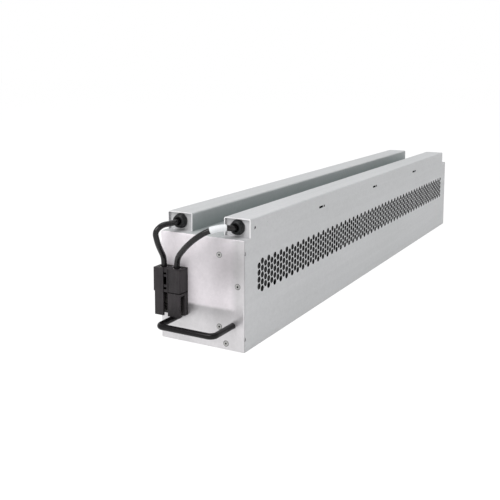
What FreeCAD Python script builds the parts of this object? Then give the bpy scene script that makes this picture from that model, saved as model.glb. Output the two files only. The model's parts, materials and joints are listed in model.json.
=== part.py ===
import FreeCAD, Part
import math
import os
import re
import Sketcher

# Battery cartridge for an uninterruptible power supply.
# A long folded steel box holds a row of sealed battery blocks. Two wire channels run along its top edges.
# The frame has +Z up, +X to the right and +Y to the back, and the front face looks along -Y.
# The origin is the middle of the base's underside. Sizes are in millimetres.

doc = FreeCAD.newDocument("BatteryCartridge")
sheet = doc.addObject("Spreadsheet::Sheet", "Sizes")

# Driving dimensions. Places marked "from the front" are measured back from the front plate's face.
SIZES = [
    # Case
    ("block_count", 10),
    ("block_width", 90),
    ("block_depth", 70),
    ("block_height", 100),
    ("front_room", 9),
    ("rear_room", 9),
    ("wall_clearance", 2),
    ("box_height", 110),
    ("sheet_thickness", 1),
    ("fold_radius", 0.8),
    ("front_seam", 0.6),
    ("flange_depth", 12),
    ("flange_margin", 4),
    ("base_flange_height", 14),
    ("short_flange_depth", 6),
    # Wire channels
    ("channel_width", 29.5),
    ("channel_height", 18.5),
    ("channel_front_gap", 12.5),
    ("channel_rear_gap", 20),
    ("cap_recess", 2.5),
    ("channel_foot", 7),
    ("cap_flange_depth", 8),
    ("cap_margin", 2.5),
    ("cap_clearance", 0.3),
    ("rim_height", 9.5),
    ("top_slot_width", 16),
    ("top_slot_edge", 3),
    # Lugs that hook into slots at the side of each channel
    ("lug_rise", 4.5),
    ("lug_spacing", 177),
    ("lug_length", 10),
    ("lug_width", 2.6),
    ("lug_lift", 0.6),
    ("lug_clearance", 0.3),
    # Vent band
    ("vent_first", 30),
    ("vent_columns", 98),
    ("vent_column_pitch", 6.8),
    ("vent_row_pitch", 7),
    ("vent_long_rows", 5),
    ("vent_height", 69),
    ("vent_half_tall", 2.8),
    ("vent_half_wide", 3.3),
    # Locating notches and a tooling hole in the side sheets
    ("notch_depth", 2),
    ("notch_height", 3.2),
    ("notch_low", 13),
    ("notch_high", 97),
    ("tooling_hole_radius", 1.4),
    ("tooling_hole_back", 21.5),
    ("tooling_hole_rise", 9),
    # Rivets of the front plate
    ("rivet_head_radius", 2.8),
    ("rivet_head_height", 0.7),
    ("rivet_shank_radius", 1.6),
    ("rivet_hole_clearance", 0.1),
    ("rivet_tail_height", 1.2),
    ("rivet_tail_radius", 2.2),
    ("rivet_upper_across", 20.5),
    ("rivet_upper_rise", 93.5),
    ("rivet_side_across", 41),
    ("rivet_side_rise", 64.5),
    ("rivet_lower_across", 20.5),
    ("rivet_lower_rise", 22),
    ("rivet_foot_across", 28),
    ("rivet_foot_rise", 6.3),
    # Handle
    ("rod_radius", 3),
    ("handle_left", 27),
    ("handle_right", 35.5),
    ("handle_height", 25.2),
    ("handle_reach", 36),
    ("handle_bend", 6),
    ("handle_hole_clearance", 0.15),
    ("handle_tail", 7),
    ("nut_flats", 10),
    ("nut_height", 4),
    ("nut_thread_clearance", 0.1),
    # Glands
    ("gland_radius", 7),
    ("gland_nose_radius", 5),
    ("gland_nose_length", 2),
    ("gland_length", 4.6),
    ("gland_neck_radius", 4.5),
    ("gland_neck_length", 7),
    ("gland_hole_clearance", 0.1),
    ("gland_nut_flats", 11.4),
    ("gland_nut_height", 3),
    ("gland_bore_clearance", 0.1),
    # Sides of round sections and holes
    ("round_sides", 12),
    ("bar_sides", 8),
    ("gland_sides", 16),
    # Leads
    ("lead_radius", 2.9),
    ("sleeve_wall", 0.5),
    ("sleeve_clearance", 0.05),
    # Connector
    ("pole_width", 15.5),
    ("pole_depth", 14.5),
    ("pole_height", 48),
    ("pole_neck", 24),
    ("connector_middle", 31.5),
    ("connector_seat", 0.1),
    ("neck_inset", 1.2),
    ("front_wall", 2),
    ("back_wall", 5.6),
    ("groove_width", 4),
    ("groove_depth", 5),
    ("tongue_clearance", 0.15),
    ("barrel_radius", 4.1),
    ("barrel_clearance", 0.15),
    ("barrel_drop", 0.5),
    ("blade_width", 8),
    ("blade_thickness", 2.4),
    ("blade_short", 3),
    ("pin_radius", 1.2),
    ("pin_clearance", 0.05),
    ("pin_length", 14),
    ("pin_front", 3),
    ("tongue_one_drop", 4.2),
    ("tongue_one_tall", 4.2),
    ("tongue_two_drop", 8.5),
    ("tongue_two_tall", 2.3),
    ("tongue_three_drop", 19),
    ("tongue_three_tall", 2.6),
    ("tongue_four_drop", 24),
    ("tongue_four_tall", 2.8),
    # Battery blocks, pads and links
    ("floor_sheet", 0.5),
    ("lid_lip", 0.6),
    ("lid_height", 6),
    ("block_gap", 0.2),
    ("tab_width", 6.3),
    ("tab_thickness", 0.8),
    ("tab_height", 6.2),
    ("tab_side", 35),
    ("tab_edge", 12),
    ("socket_length", 8.4),
    ("socket_width", 6.4),
    ("socket_height", 6.6),
    ("socket_clearance", 0.1),
    ("link_width", 3.2),
    ("link_height", 3.6),
    ("front_pad_size", 50),
    ("front_pad_low", 33),
    ("front_pad_left", 40),
    ("rear_pad_width", 80),
    ("rear_pad_height", 84),
    ("rear_pad_low", 8),
]
# Sizes that follow from the driving ones
WORKED_OUT = dict([
    ("case_length", "block_count * block_depth + front_room + rear_room + 2 * sheet_thickness"),
    ("case_width", "block_width + 2 * wall_clearance + 2 * sheet_thickness"),
    ("inner_half", "case_width / 2 - sheet_thickness"),
    ("full_height", "box_height + channel_height"),
    ("channel_inner", "case_width / 2 - channel_width"),
    ("channel_end", "case_length - channel_rear_gap"),
    ("front_cap_face", "channel_front_gap + cap_recess"),
    ("rear_cap_face", "channel_end - cap_recess"),
    ("cap_middle", "case_width / 2 - channel_width / 2"),
    ("gland_height", "box_height + channel_height / 2"),
    ("gland_bore", "lead_radius + gland_bore_clearance"),
    ("first_block", "sheet_thickness + front_room"),
    ("block_floor", "sheet_thickness + floor_sheet"),
    ("connector_bottom", "handle_height + rod_radius + connector_seat"),
    ("connector_top", "connector_bottom + pole_height"),
    ("neck_top", "connector_bottom + pole_neck"),
])

for row, (name, number) in enumerate(SIZES, 1):
    sheet.set("A%d" % row, name)
    sheet.set("B%d" % row, str(number))
    sheet.setAlias("B%d" % row, name)
doc.recompute()

V = FreeCAD.Vector
parts = []


def expand(formula, prefix):
    """Writes a formula in driving sizes only, each with a prefix."""
    def swap(found):
        name = found.group(0)
        if name in WORKED_OUT:
            return "(%s)" % expand(WORKED_OUT[name], prefix)
        return prefix + name
    return re.sub(r"[a-z][a-z_]+", swap, formula)


def value(formula):
    """Number that a formula of sizes gives."""
    return float(sheet.evalExpression(expand(formula, "")))


def bind(thing, prop, formula):
    """Binds a property to a formula of sizes."""
    thing.setExpression(prop, expand(formula, "Sizes."))


def new_body(label):
    """Body of one sub-part, set so that its own Y runs back from the front plate's face."""
    body = doc.addObject("PartDesign::Body", label)
    body.Label = label
    bind(body, "Placement.Base.y", "-case_length / 2")
    parts.append(body)
    return body


def new_sketch(body, name, role, offset="0"):
    """Sketch on one of the body's origin planes, moved along the plane's normal."""
    plane = [item for item in body.Origin.OriginFeatures if item.Role == role][0]
    sketch = body.newObject("Sketcher::SketchObject", name)
    sketch.AttachmentSupport = [(plane, "")]
    sketch.MapMode = "FlatFace"
    bind(sketch, "AttachmentOffset.Base.z", offset)
    return sketch


def pin_vertex(sketch, item, vertex, across, up):
    """Constrains a vertex to a place given by two formulas."""
    for kind, formula in (("DistanceX", across), ("DistanceY", up)):
        index = sketch.addConstraint(Sketcher.Constraint(kind, -1, 1, item, vertex, value(formula)))
        bind(sketch, "Constraints[%d]" % index, formula)


def polygon(sketch, corners):
    """Closed outline through corners given as pairs of formulas."""
    first = sketch.GeometryCount
    count = len(corners)
    points = [V(value(across), value(up), 0) for across, up in corners]
    for index in range(count):
        sketch.addGeometry(Part.LineSegment(points[index], points[(index + 1) % count]), False)
    for index in range(count):
        follower = first + (index + 1) % count
        sketch.addConstraint(Sketcher.Constraint("Coincident", first + index, 2, follower, 1))
    for index, (across, up) in enumerate(corners):
        pin_vertex(sketch, first + index, 1, across, up)


def rectangle(sketch, left, right, low, high):
    polygon(sketch, [(left, low), (right, low), (right, high), (left, high)])


def regular(sketch, across, up, radius, sides, first_turn=0.0):
    """Regular outline with its corners on a radius."""
    corners = []
    for step in range(sides):
        angle = math.radians(first_turn) + 2 * math.pi * step / sides
        corners.append(("(%s) + %.9f * (%s)" % (across, math.cos(angle), radius),
                        "(%s) + %.9f * (%s)" % (up, math.sin(angle), radius)))
    polygon(sketch, corners)


def round_bar(sketch, across, up, radius, sides="round_sides"):
    """Round section as a many-sided outline inside the radius."""
    regular(sketch, across, up, radius, int(value(sides)))


def round_hole(sketch, across, up, radius, sides="round_sides"):
    """Round hole as a many-sided outline outside the radius."""
    count = int(value(sides))
    regular(sketch, across, up, "%.9f * (%s)" % (1 / math.cos(math.pi / count), radius), count)


def pad(body, name, sketch, length, away=False):
    """Pad along the sketch's normal, or away from it."""
    feature = body.newObject("PartDesign::Pad", name)
    feature.Profile = sketch
    bind(feature, "Length", length)
    feature.Reversed = away
    doc.recompute()
    return feature


def pocket(body, name, sketch, length=None, along=False):
    """Pocket against the sketch's normal, or along it; through everything where no length is given."""
    before = body.Tip.Shape.Volume
    feature = body.newObject("PartDesign::Pocket", name)
    feature.Profile = sketch
    if length is None:
        feature.Type = "ThroughAll"
    else:
        bind(feature, "Length", length)
    feature.Reversed = along
    doc.recompute()
    if feature.Shape.Volume >= before:
        raise ValueError("the pocket cuts nothing: " + name)
    return feature


def edges_at(shape, axis, places):
    """Names of the straight edges along an axis that pass through the given places across it."""
    found = []
    others = [item for item in "xyz" if item != axis]
    for index, edge in enumerate(shape.Edges):
        if edge.Curve.TypeId != "Part::GeomLine" or abs(abs(getattr(edge.Curve.Direction, axis)) - 1) > 1e-6:
            continue
        here = [getattr(edge.Vertexes[0].Point, item) for item in others]
        if any(abs(here[0] - place[0]) < 1e-4 and abs(here[1] - place[1]) < 1e-4 for place in places):
            found.append("Edge%d" % (index + 1))
    return found


def fillet(body, name, axis, places, radius):
    """Rounds the edges along an axis at places given as pairs of formulas."""
    base = body.Tip
    spots = [(value(across), value(up)) for across, up in places]
    feature = body.newObject("PartDesign::Fillet", name)
    feature.Base = (base, edges_at(base.Shape, axis, spots))
    bind(feature, "Radius", radius)
    doc.recompute()
    return feature


def hexagon(sketch, across, up, flats):
    """Regular hexagon with two upright sides."""
    regular(sketch, across, up, "%.9f * %s" % (1 / math.sqrt(3), flats), 6, 30.0)


def side_sheet(label, side):
    """One folded sheet: side wall, channel top, channel inner wall and a foot inside the channel."""
    body = new_body(label)
    outer = "%d * case_width / 2" % side
    wall = "%d * inner_half" % side
    inner = "%d * channel_inner" % side
    lining = "%d * (channel_inner + sheet_thickness)" % side
    toe = "%d * (channel_inner + sheet_thickness + channel_foot)" % side
    section = new_sketch(body, label + "_section", "XZ_Plane", "-(sheet_thickness + front_seam)")
    polygon(section, [
        (outer, "0"),
        (outer, "full_height"),
        (inner, "full_height"),
        (inner, "box_height"),
        (toe, "box_height"),
        (toe, "box_height + sheet_thickness"),
        (lining, "box_height + sheet_thickness"),
        (lining, "full_height - sheet_thickness"),
        (wall, "full_height - sheet_thickness"),
        (wall, "0"),
    ])
    pad(body, label + "_fold", section, "case_length - 2 * sheet_thickness - 2 * front_seam", away=True)
    fillet(body, label + "_inner_folds", "y", [
        (lining, "box_height + sheet_thickness"),
        (lining, "full_height - sheet_thickness"),
        (wall, "full_height - sheet_thickness"),
    ], "fold_radius")
    fillet(body, label + "_outer_folds", "y", [
        (outer, "full_height"),
        (inner, "full_height"),
        (inner, "box_height"),
    ], "fold_radius + sheet_thickness")

    # The channel stops short of both ends, and its foot stops behind the end caps
    steps = new_sketch(body, label + "_steps", "YZ_Plane")
    rectangle(steps, "0", "channel_front_gap", "box_height", "full_height + sheet_thickness")
    rectangle(steps, "channel_end", "case_length", "box_height", "full_height + sheet_thickness")
    pocket(body, label + "_step_cut", steps, along=side > 0)
    feet = new_sketch(body, label + "_foot_ends", "XY_Plane", "box_height + sheet_thickness + fold_radius")
    for start, end in (("channel_front_gap", "front_cap_face + cap_flange_depth + sheet_thickness"),
                       ("rear_cap_face - cap_flange_depth - sheet_thickness", "channel_end")):
        polygon(feet, [(lining, start), (toe, start), (toe, end), (lining, end)])
    pocket(body, label + "_foot_cut", feet, "sheet_thickness + fold_radius")

    # Slots for the lugs of the top plate, locating notches and the tooling hole
    openings = new_sketch(body, label + "_openings", "YZ_Plane", "%d * (case_width / 2 - 5 * sheet_thickness)" % side)
    middle = "(channel_front_gap + channel_end) / 2"
    for step in (-1, 0, 1):
        centre = "%s + %d * lug_spacing" % (middle, step)
        rectangle(openings, "%s - lug_length / 2" % centre, "%s + lug_length / 2" % centre,
                  "box_height + lug_rise - lug_width / 2", "box_height + lug_rise + lug_width / 2")
    for centre in ("notch_low", "notch_high"):
        rectangle(openings, "0", "sheet_thickness + front_seam + notch_depth",
                  "%s - notch_height / 2" % centre, "%s + notch_height / 2" % centre)
    round_hole(openings, "tooling_hole_back", "box_height + tooling_hole_rise", "tooling_hole_radius")
    pocket(body, label + "_opening_cut", openings, along=side > 0)
    return body


def vent_rows(body, name, first_column, rows, columns):
    """Cuts every second column of the vent band: one hole, repeated along two directions."""
    sketch = new_sketch(body, name, "YZ_Plane", "case_width / 2 - 5 * sheet_thickness")
    centre = "vent_first + %d * vent_column_pitch" % first_column
    lowest = "vent_height - (%s - 1) / 2 * vent_row_pitch" % rows
    polygon(sketch, [
        ("%s - vent_half_wide" % centre, lowest),
        (centre, "%s - vent_half_tall" % lowest),
        ("%s + vent_half_wide" % centre, lowest),
        (centre, "%s + vent_half_tall" % lowest),
    ])
    hole = pocket(body, name + "_hole", sketch, along=True)
    before = hole.Shape.Volume
    pattern = body.newObject("PartDesign::LinearPattern", name + "_pattern")
    pattern.Originals = [hole]
    pattern.Direction = (sketch, ["H_Axis"])
    pattern.Direction2 = (sketch, ["V_Axis"])
    pattern.Occurrences = columns
    pattern.Occurrences2 = int(value(rows))
    bind(pattern, "Length", "%d * 2 * vent_column_pitch" % (columns - 1))
    bind(pattern, "Length2", "(%s - 1) * vent_row_pitch" % rows)
    body.Tip = pattern
    doc.recompute()
    if pattern.Shape.Volume >= before:
        raise ValueError("the vent pattern cuts nothing")


# Case
side_sheet("side_sheet_left", -1)
right_sheet = side_sheet("side_sheet_right", 1)
long_columns = int(value("vent_columns")) // 2
short_columns = int(value("vent_columns")) - long_columns
vent_rows(right_sheet, "vent_short", 0, "(vent_long_rows - 1)", short_columns)
vent_rows(right_sheet, "vent_long", 1, "vent_long_rows", long_columns)


def top_plate():
    """Flat lid between the side walls, with a rim up each wall inside the channels and lugs on the rim."""
    body = new_body("top_plate")
    flat = new_sketch(body, "top_flat", "XY_Plane", "box_height - sheet_thickness")
    rectangle(flat, "-inner_half", "inner_half", "sheet_thickness", "case_length - sheet_thickness")
    pad(body, "top_sheet", flat, "sheet_thickness")
    rims = new_sketch(body, "top_rims", "XY_Plane", "box_height")
    start = "front_cap_face + sheet_thickness"
    end = "rear_cap_face - sheet_thickness"
    rectangle(rims, "-inner_half", "-inner_half + sheet_thickness", start, end)
    rectangle(rims, "inner_half - sheet_thickness", "inner_half", start, end)
    pad(body, "top_rim", rims, "rim_height")
    lugs = new_sketch(body, "top_lugs", "YZ_Plane", "-inner_half - lug_lift")
    half_length = "(lug_length / 2 - lug_clearance)"
    half_width = "(lug_width / 2 - lug_clearance)"
    for step in (-1, 0, 1):
        centre = "(channel_front_gap + channel_end) / 2 + %d * lug_spacing" % step
        rectangle(lugs, "%s - %s" % (centre, half_length), "%s + %s" % (centre, half_length),
                  "box_height + lug_rise - " + half_width, "box_height + lug_rise + " + half_width)
    pad(body, "top_lug_left", lugs, "lug_lift")
    mirror = body.newObject("PartDesign::Mirrored", "top_lug_right")
    mirror.Originals = [body.Tip]
    mirror.MirrorPlane = ([item for item in body.Origin.OriginFeatures if item.Role == "YZ_Plane"][0], [""])
    body.Tip = mirror
    doc.recompute()
    slots = new_sketch(body, "top_slots", "XY_Plane", "box_height")
    outer = "inner_half - sheet_thickness - top_slot_edge"
    for sign in ("-", ""):
        edges = ["%s(%s - top_slot_width)" % (sign, outer), "%s(%s)" % (sign, outer)]
        rectangle(slots, edges[0], edges[1], "front_cap_face + flange_depth", "rear_cap_face - flange_depth")
    pocket(body, "top_slot", slots)
    return body


def base_plate():
    """Floor with a rim up each side wall, clear of the end plates' flanges."""
    body = new_body("base_plate")
    floor = new_sketch(body, "base_flat", "XY_Plane")
    rectangle(floor, "-inner_half", "inner_half", "sheet_thickness", "case_length - sheet_thickness")
    pad(body, "base_sheet", floor, "sheet_thickness")
    rims = new_sketch(body, "base_rims", "XY_Plane", "sheet_thickness")
    start = "sheet_thickness + flange_depth + flange_margin"
    end = "case_length - sheet_thickness - flange_depth - flange_margin"
    rectangle(rims, "-inner_half", "-inner_half + sheet_thickness", start, end)
    rectangle(rims, "inner_half - sheet_thickness", "inner_half", start, end)
    pad(body, "base_rim", rims, "base_flange_height")
    return body


def end_plate(label, face, direction):
    """Full-width plate with flanges that run into the case behind its four edges."""
    body = new_body(label)
    away = direction > 0
    sketch = new_sketch(body, label + "_face", "XZ_Plane", "-(%s)" % face)
    rectangle(sketch, "-case_width / 2", "case_width / 2", "0", "box_height")
    pad(body, label + "_sheet", sketch, "sheet_thickness", away=away)
    root = "-(%s) - %d * sheet_thickness" % (face, direction)
    long_flanges = new_sketch(body, label + "_long_flanges", "XZ_Plane", root)
    low = "sheet_thickness + flange_margin"
    high = "box_height - sheet_thickness - flange_margin"
    rectangle(long_flanges, "-inner_half", "-inner_half + sheet_thickness", low, high)
    rectangle(long_flanges, "inner_half - sheet_thickness", "inner_half", low, high)
    pad(body, label + "_long_flange", long_flanges, "flange_depth", away=away)
    short_flanges = new_sketch(body, label + "_short_flanges", "XZ_Plane", root)
    reach = "inner_half - flange_margin"
    for low in ("sheet_thickness", "box_height - 2 * sheet_thickness"):
        rectangle(short_flanges, "-(%s)" % reach, reach, low, "%s + sheet_thickness" % low)
    pad(body, label + "_short_flange", short_flanges, "short_flange_depth", away=away)
    return body


# Rivet places on the front plate: across from the middle, and up from the base
RIVETS = [("rivet_%s_across" % spot, "rivet_%s_rise" % spot) for spot in ("upper", "side", "lower", "foot")]
HANDLE_ARMS = ["-handle_left", "handle_right"]

top_plate()
base_plate()
front = end_plate("front_plate", "0", 1)
holes = new_sketch(front, "front_holes", "XZ_Plane", "2 * sheet_thickness")
for across, up in RIVETS:
    round_hole(holes, across, up, "rivet_shank_radius + rivet_hole_clearance")
for across in HANDLE_ARMS:
    round_hole(holes, across, "handle_height", "rod_radius + handle_hole_clearance")
pocket(front, "front_hole_cut", holes, "6 * sheet_thickness")
end_plate("rear_plate", "case_length", -1)


def channel_cap(label, side, face, direction):
    """Plate that closes one end of a channel, with a flange under its top and one along its inner wall."""
    body = new_body(label)
    away = direction > 0
    lining = "%d * (channel_inner + sheet_thickness + cap_clearance)" % side
    wall = "%d * (inner_half - cap_clearance)" % side
    roof = "full_height - sheet_thickness - cap_clearance"
    sketch = new_sketch(body, label + "_face", "XZ_Plane", "-(%s)" % face)
    rectangle(sketch, lining, wall, "box_height", roof)
    pad(body, label + "_sheet", sketch, "sheet_thickness", away=away)
    flanges = new_sketch(body, label + "_flanges", "XZ_Plane", "-(%s) - %d * sheet_thickness" % (face, direction))
    rectangle(flanges, "%s + %d * cap_margin" % (lining, side), "%s - %d * cap_margin" % (wall, side),
              "%s - sheet_thickness" % roof, roof)
    rectangle(flanges, lining, "%s + %d * sheet_thickness" % (lining, side),
              "box_height + cap_margin", "%s - cap_margin" % roof)
    pad(body, label + "_flange", flanges, "cap_flange_depth", away=away)
    return body


def gland(label, side):
    """Snap-in bushing: a flange with a sloping nose, a neck through the cap and a bore for the lead."""
    body = new_body(label)
    across = "%d * cap_middle" % side
    nose = "front_cap_face - gland_length"
    tip = new_sketch(body, label + "_tip", "XZ_Plane", "-(%s)" % nose)
    round_bar(tip, across, "gland_height", "gland_nose_radius", "gland_sides")
    brow = new_sketch(body, label + "_brow", "XZ_Plane", "-(%s + gland_nose_length)" % nose)
    round_bar(brow, across, "gland_height", "gland_radius", "gland_sides")
    doc.recompute()
    slope = body.newObject("PartDesign::AdditiveLoft", label + "_nose")
    slope.Profile = tip
    slope.Sections = [brow]
    slope.Ruled = True
    doc.recompute()
    flange = new_sketch(body, label + "_flange_section", "XZ_Plane", "-(%s + gland_nose_length)" % nose)
    round_bar(flange, across, "gland_height", "gland_radius", "gland_sides")
    pad(body, label + "_flange", flange, "gland_length - gland_nose_length", away=True)
    neck = new_sketch(body, label + "_neck_section", "XZ_Plane", "-front_cap_face")
    round_bar(neck, across, "gland_height", "gland_neck_radius", "gland_sides")
    pad(body, label + "_neck", neck, "gland_neck_length", away=True)
    bore = new_sketch(body, label + "_bore", "XZ_Plane", "-(%s)" % nose)
    round_hole(bore, across, "gland_height", "gland_bore", "gland_sides")
    pocket(body, label + "_bore_cut", bore)
    return body


def gland_nut(label, side):
    body = new_body(label)
    sketch = new_sketch(body, label + "_section", "XZ_Plane", "-(front_cap_face + sheet_thickness)")
    across = "%d * cap_middle" % side
    hexagon(sketch, across, "gland_height", "gland_nut_flats")
    round_hole(sketch, across, "gland_height", "gland_neck_radius + gland_hole_clearance", "gland_sides")
    pad(body, label + "_hex", sketch, "gland_nut_height", away=True)
    return body


for side, name in ((-1, "left"), (1, "right")):
    cap = channel_cap("channel_front_cap_" + name, side, "front_cap_face", 1)
    hole = new_sketch(cap, "gland_hole_" + name, "XZ_Plane", "-front_cap_face")
    round_hole(hole, "%d * cap_middle" % side, "gland_height", "gland_neck_radius + gland_hole_clearance",
               "gland_sides")
    pocket(cap, "gland_hole_cut_" + name, hole, "sheet_thickness")
    channel_cap("channel_rear_cap_" + name, side, "rear_cap_face", -1)
    gland("gland_" + name, side)
    gland_nut("gland_nut_" + name, side)


def handle():
    """Round rod bent into a square bow, with its two ends through the front plate."""
    body = new_body("handle_rod")
    path = new_sketch(body, "handle_path", "XY_Plane", "handle_height")
    tail = value("sheet_thickness + handle_tail")
    left, right = -value("handle_left"), value("handle_right")
    reach, bend = -value("handle_reach"), value("handle_bend")
    path.addGeometry(Part.LineSegment(V(left, tail, 0), V(left, reach + bend, 0)), False)
    path.addGeometry(Part.ArcOfCircle(Part.Circle(V(left + bend, reach + bend, 0), V(0, 0, 1), bend),
                                      math.pi, 1.5 * math.pi), False)
    path.addGeometry(Part.LineSegment(V(left + bend, reach, 0), V(right - bend, reach, 0)), False)
    path.addGeometry(Part.ArcOfCircle(Part.Circle(V(right - bend, reach + bend, 0), V(0, 0, 1), bend),
                                      1.5 * math.pi, 2 * math.pi), False)
    path.addGeometry(Part.LineSegment(V(right, reach + bend, 0), V(right, tail, 0)), False)
    for first, end, second, start in ((0, 2, 1, 1), (1, 2, 2, 1), (2, 2, 3, 1), (3, 2, 4, 1)):
        path.addConstraint(Sketcher.Constraint("Coincident", first, end, second, start))
    pin_vertex(path, 0, 1, "-handle_left", "sheet_thickness + handle_tail")
    pin_vertex(path, 0, 2, "-handle_left", "handle_bend - handle_reach")
    pin_vertex(path, 2, 1, "handle_bend - handle_left", "-handle_reach")
    pin_vertex(path, 2, 2, "handle_right - handle_bend", "-handle_reach")
    pin_vertex(path, 4, 1, "handle_right", "handle_bend - handle_reach")
    pin_vertex(path, 4, 2, "handle_right", "sheet_thickness + handle_tail")
    for item in (1, 3):
        index = path.addConstraint(Sketcher.Constraint("Radius", item, bend))
        bind(path, "Constraints[%d]" % index, "handle_bend")
    section = new_sketch(body, "handle_section", "XZ_Plane", "-(sheet_thickness + handle_tail)")
    round_bar(section, "-handle_left", "handle_height", "rod_radius", "bar_sides")
    doc.recompute()
    pipe = body.newObject("PartDesign::AdditivePipe", "handle_sweep")
    pipe.Profile = section
    pipe.Spine = (path, [])
    doc.recompute()
    return body


handle()
for across, name in (("-handle_left", "left"), ("handle_right", "right")):
    nut = new_body("handle_nut_" + name)
    sketch = new_sketch(nut, "handle_nut_section_" + name, "XZ_Plane", "-sheet_thickness")
    hexagon(sketch, across, "handle_height", "nut_flats")
    round_hole(sketch, across, "handle_height", "rod_radius + nut_thread_clearance")
    pad(nut, "handle_nut_hex_" + name, sketch, "nut_height", away=True)


def primitive(kind, name, sizes, place):
    """Part primitive whose sizes and place follow formulas. Place Y is measured from the front."""
    item = doc.addObject(kind, name)
    for prop, formula in sizes.items():
        bind(item, prop, formula)
    for axis, formula in zip("xyz", place):
        bind(item, "Placement.Base." + axis, formula if axis != "y" else "%s - case_length / 2" % formula)
    return item


def lie_back(item):
    """Turns a primitive so that its own Z runs back along +Y."""
    item.Placement = FreeCAD.Placement(item.Placement.Base, FreeCAD.Rotation(V(1, 0, 0), -90))


def fuse(label, items):
    result = doc.addObject("Part::MultiFuse", label)
    result.Shapes = items
    result.Label = label
    return result


def group(label, items):
    result = doc.addObject("Part::Compound", label)
    result.Links = items
    result.Label = label
    parts.append(result)
    return result


def rivet(index, across, up):
    """Flat head in front of the plate, shank through it and tail behind it."""
    pieces = []
    for name, radius, height, start in (
            ("head", "rivet_head_radius", "rivet_head_height", "-rivet_head_height"),
            ("shank", "rivet_shank_radius", "sheet_thickness", "0"),
            ("tail", "rivet_tail_radius", "rivet_tail_height", "sheet_thickness")):
        item = primitive("Part::Prism", "rivet_%s_%d" % (name, index), {
            "Polygon": "round_sides", "Circumradius": radius, "Height": height}, (across, start, up))
        lie_back(item)
        pieces.append(item)
    return fuse("rivet_%d" % index, pieces)


group("front_rivets", [rivet(index + 1, across, up) for index, (across, up) in enumerate(RIVETS)])


# Connector: two single-pole housings side by side, joined by tongues and a pin
TONGUES = [("tongue_%s_drop" % step, "tongue_%s_tall" % step) for step in ("one", "two", "three", "four")]


def pole_housing(label, side):
    """One pole: wire bore above, mating hood below. The left one has the groove, the right one the tongues."""
    body = new_body(label)
    joint = "-connector_middle"
    low, high = (joint + " - pole_width", joint) if side < 0 else (joint, joint + " + pole_width")
    block = new_sketch(body, label + "_block", "XY_Plane", "connector_bottom")
    rectangle(block, low, high, "-pole_depth", "0")
    pad(body, label + "_solid", block, "pole_height")
    if side > 0:
        tongues = new_sketch(body, label + "_tongues", "YZ_Plane", joint)
        for drop, tall in TONGUES:
            rectangle(tongues, "-pole_depth + 3 * tongue_clearance", "-pole_depth + groove_depth - tongue_clearance",
                      "connector_top - %s" % drop, "connector_top - %s + %s" % (drop, tall))
        # The tongues reach into the left pole's groove
        pad(body, label + "_tongue", tongues, "groove_width - tongue_clearance", away=True)
    else:
        groove = new_sketch(body, label + "_groove", "XY_Plane", "connector_top")
        rectangle(groove, joint + " - groove_width", joint, "-pole_depth", "-pole_depth + groove_depth")
        pocket(body, label + "_groove_cut", groove)
    hood = new_sketch(body, label + "_hood", "XY_Plane", "connector_bottom")
    rectangle(hood, low, low + " + neck_inset", "-pole_depth", "0")
    pocket(body, label + "_hood_cut", hood, "pole_neck", along=True)
    cavity = new_sketch(body, label + "_cavity", "YZ_Plane", low + " - pole_width")
    rectangle(cavity, "front_wall - pole_depth", "-back_wall", "connector_bottom", "neck_top - blade_short")
    pocket(body, label + "_cavity_cut", cavity, "3 * pole_width", along=True)
    bore = new_sketch(body, label + "_bore", "XY_Plane", "connector_top")
    middle = "%s + %d * pole_width / 2" % (joint, side)
    round_hole(bore, middle, "-pole_depth / 2", "barrel_radius + barrel_clearance")
    pocket(body, label + "_bore_cut", bore, "pole_height - pole_neck + blade_short")
    pin_seat = new_sketch(body, label + "_pin_seat", "XY_Plane", "connector_top")
    round_hole(pin_seat, joint, "-pin_front", "pin_radius + pin_clearance")
    pocket(body, label + "_pin_seat_cut", pin_seat, "pin_length")
    return body


def contact(label, side):
    """Crimp barrel with a flat blade that reaches down into the hood."""
    centre = "-connector_middle + %d * pole_width / 2" % side
    barrel = primitive("Part::Prism", label + "_barrel", {
        "Polygon": "round_sides", "Circumradius": "barrel_radius",
        "Height": "pole_height - pole_neck - barrel_drop + blade_short"},
        (centre, "-pole_depth / 2", "neck_top - blade_short"))
    blade = primitive("Part::Box", label + "_blade", {
        "Length": "blade_width", "Width": "blade_thickness", "Height": "pole_neck - 2 * blade_short"},
        ("%s - blade_width / 2" % centre, "-back_wall - barrel_clearance - blade_thickness",
         "connector_bottom + blade_short"))
    shape = fuse(label, [barrel, blade])
    parts.append(shape)


for side, name in ((-1, "left"), (1, "right")):
    pole_housing("connector_housing_" + name, side)
    contact("connector_contact_" + name, side)
pin = primitive("Part::Prism", "connector_pin", {
    "Polygon": "round_sides", "Circumradius": "pin_radius", "Height": "pin_length"},
    ("-connector_middle", "-pin_front", "connector_top - pin_length"))
pin.Label = "connector_pin"
parts.append(pin)


# Battery blocks in a row, each with two flat tabs near the back edge of its lid
def battery_block(number):
    label = "battery_block_%02d" % number
    start = "first_block + %d * block_depth" % (number - 1)
    case = primitive("Part::Box", label + "_case", {
        "Length": "block_width", "Width": "block_depth - block_gap", "Height": "block_height - lid_height"},
        ("-block_width / 2", start, "block_floor"))
    lid = primitive("Part::Box", label + "_lid", {
        "Length": "block_width - 2 * lid_lip", "Width": "block_depth - block_gap - 2 * lid_lip",
        "Height": "lid_height"},
        ("lid_lip - block_width / 2", "%s + lid_lip" % start, "block_floor + block_height - lid_height"))
    tabs = []
    for side in (-1, 1):
        tabs.append(primitive("Part::Box", "%s_tab_%d" % (label, side + 2), {
            "Length": "tab_thickness", "Width": "tab_width", "Height": "tab_height"},
            ("%d * tab_side - tab_thickness / 2" % side,
             "first_block + %d * block_depth - tab_edge - tab_width / 2" % number, "block_floor + block_height")))
    parts.append(fuse(label, [case, lid] + tabs))


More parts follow.
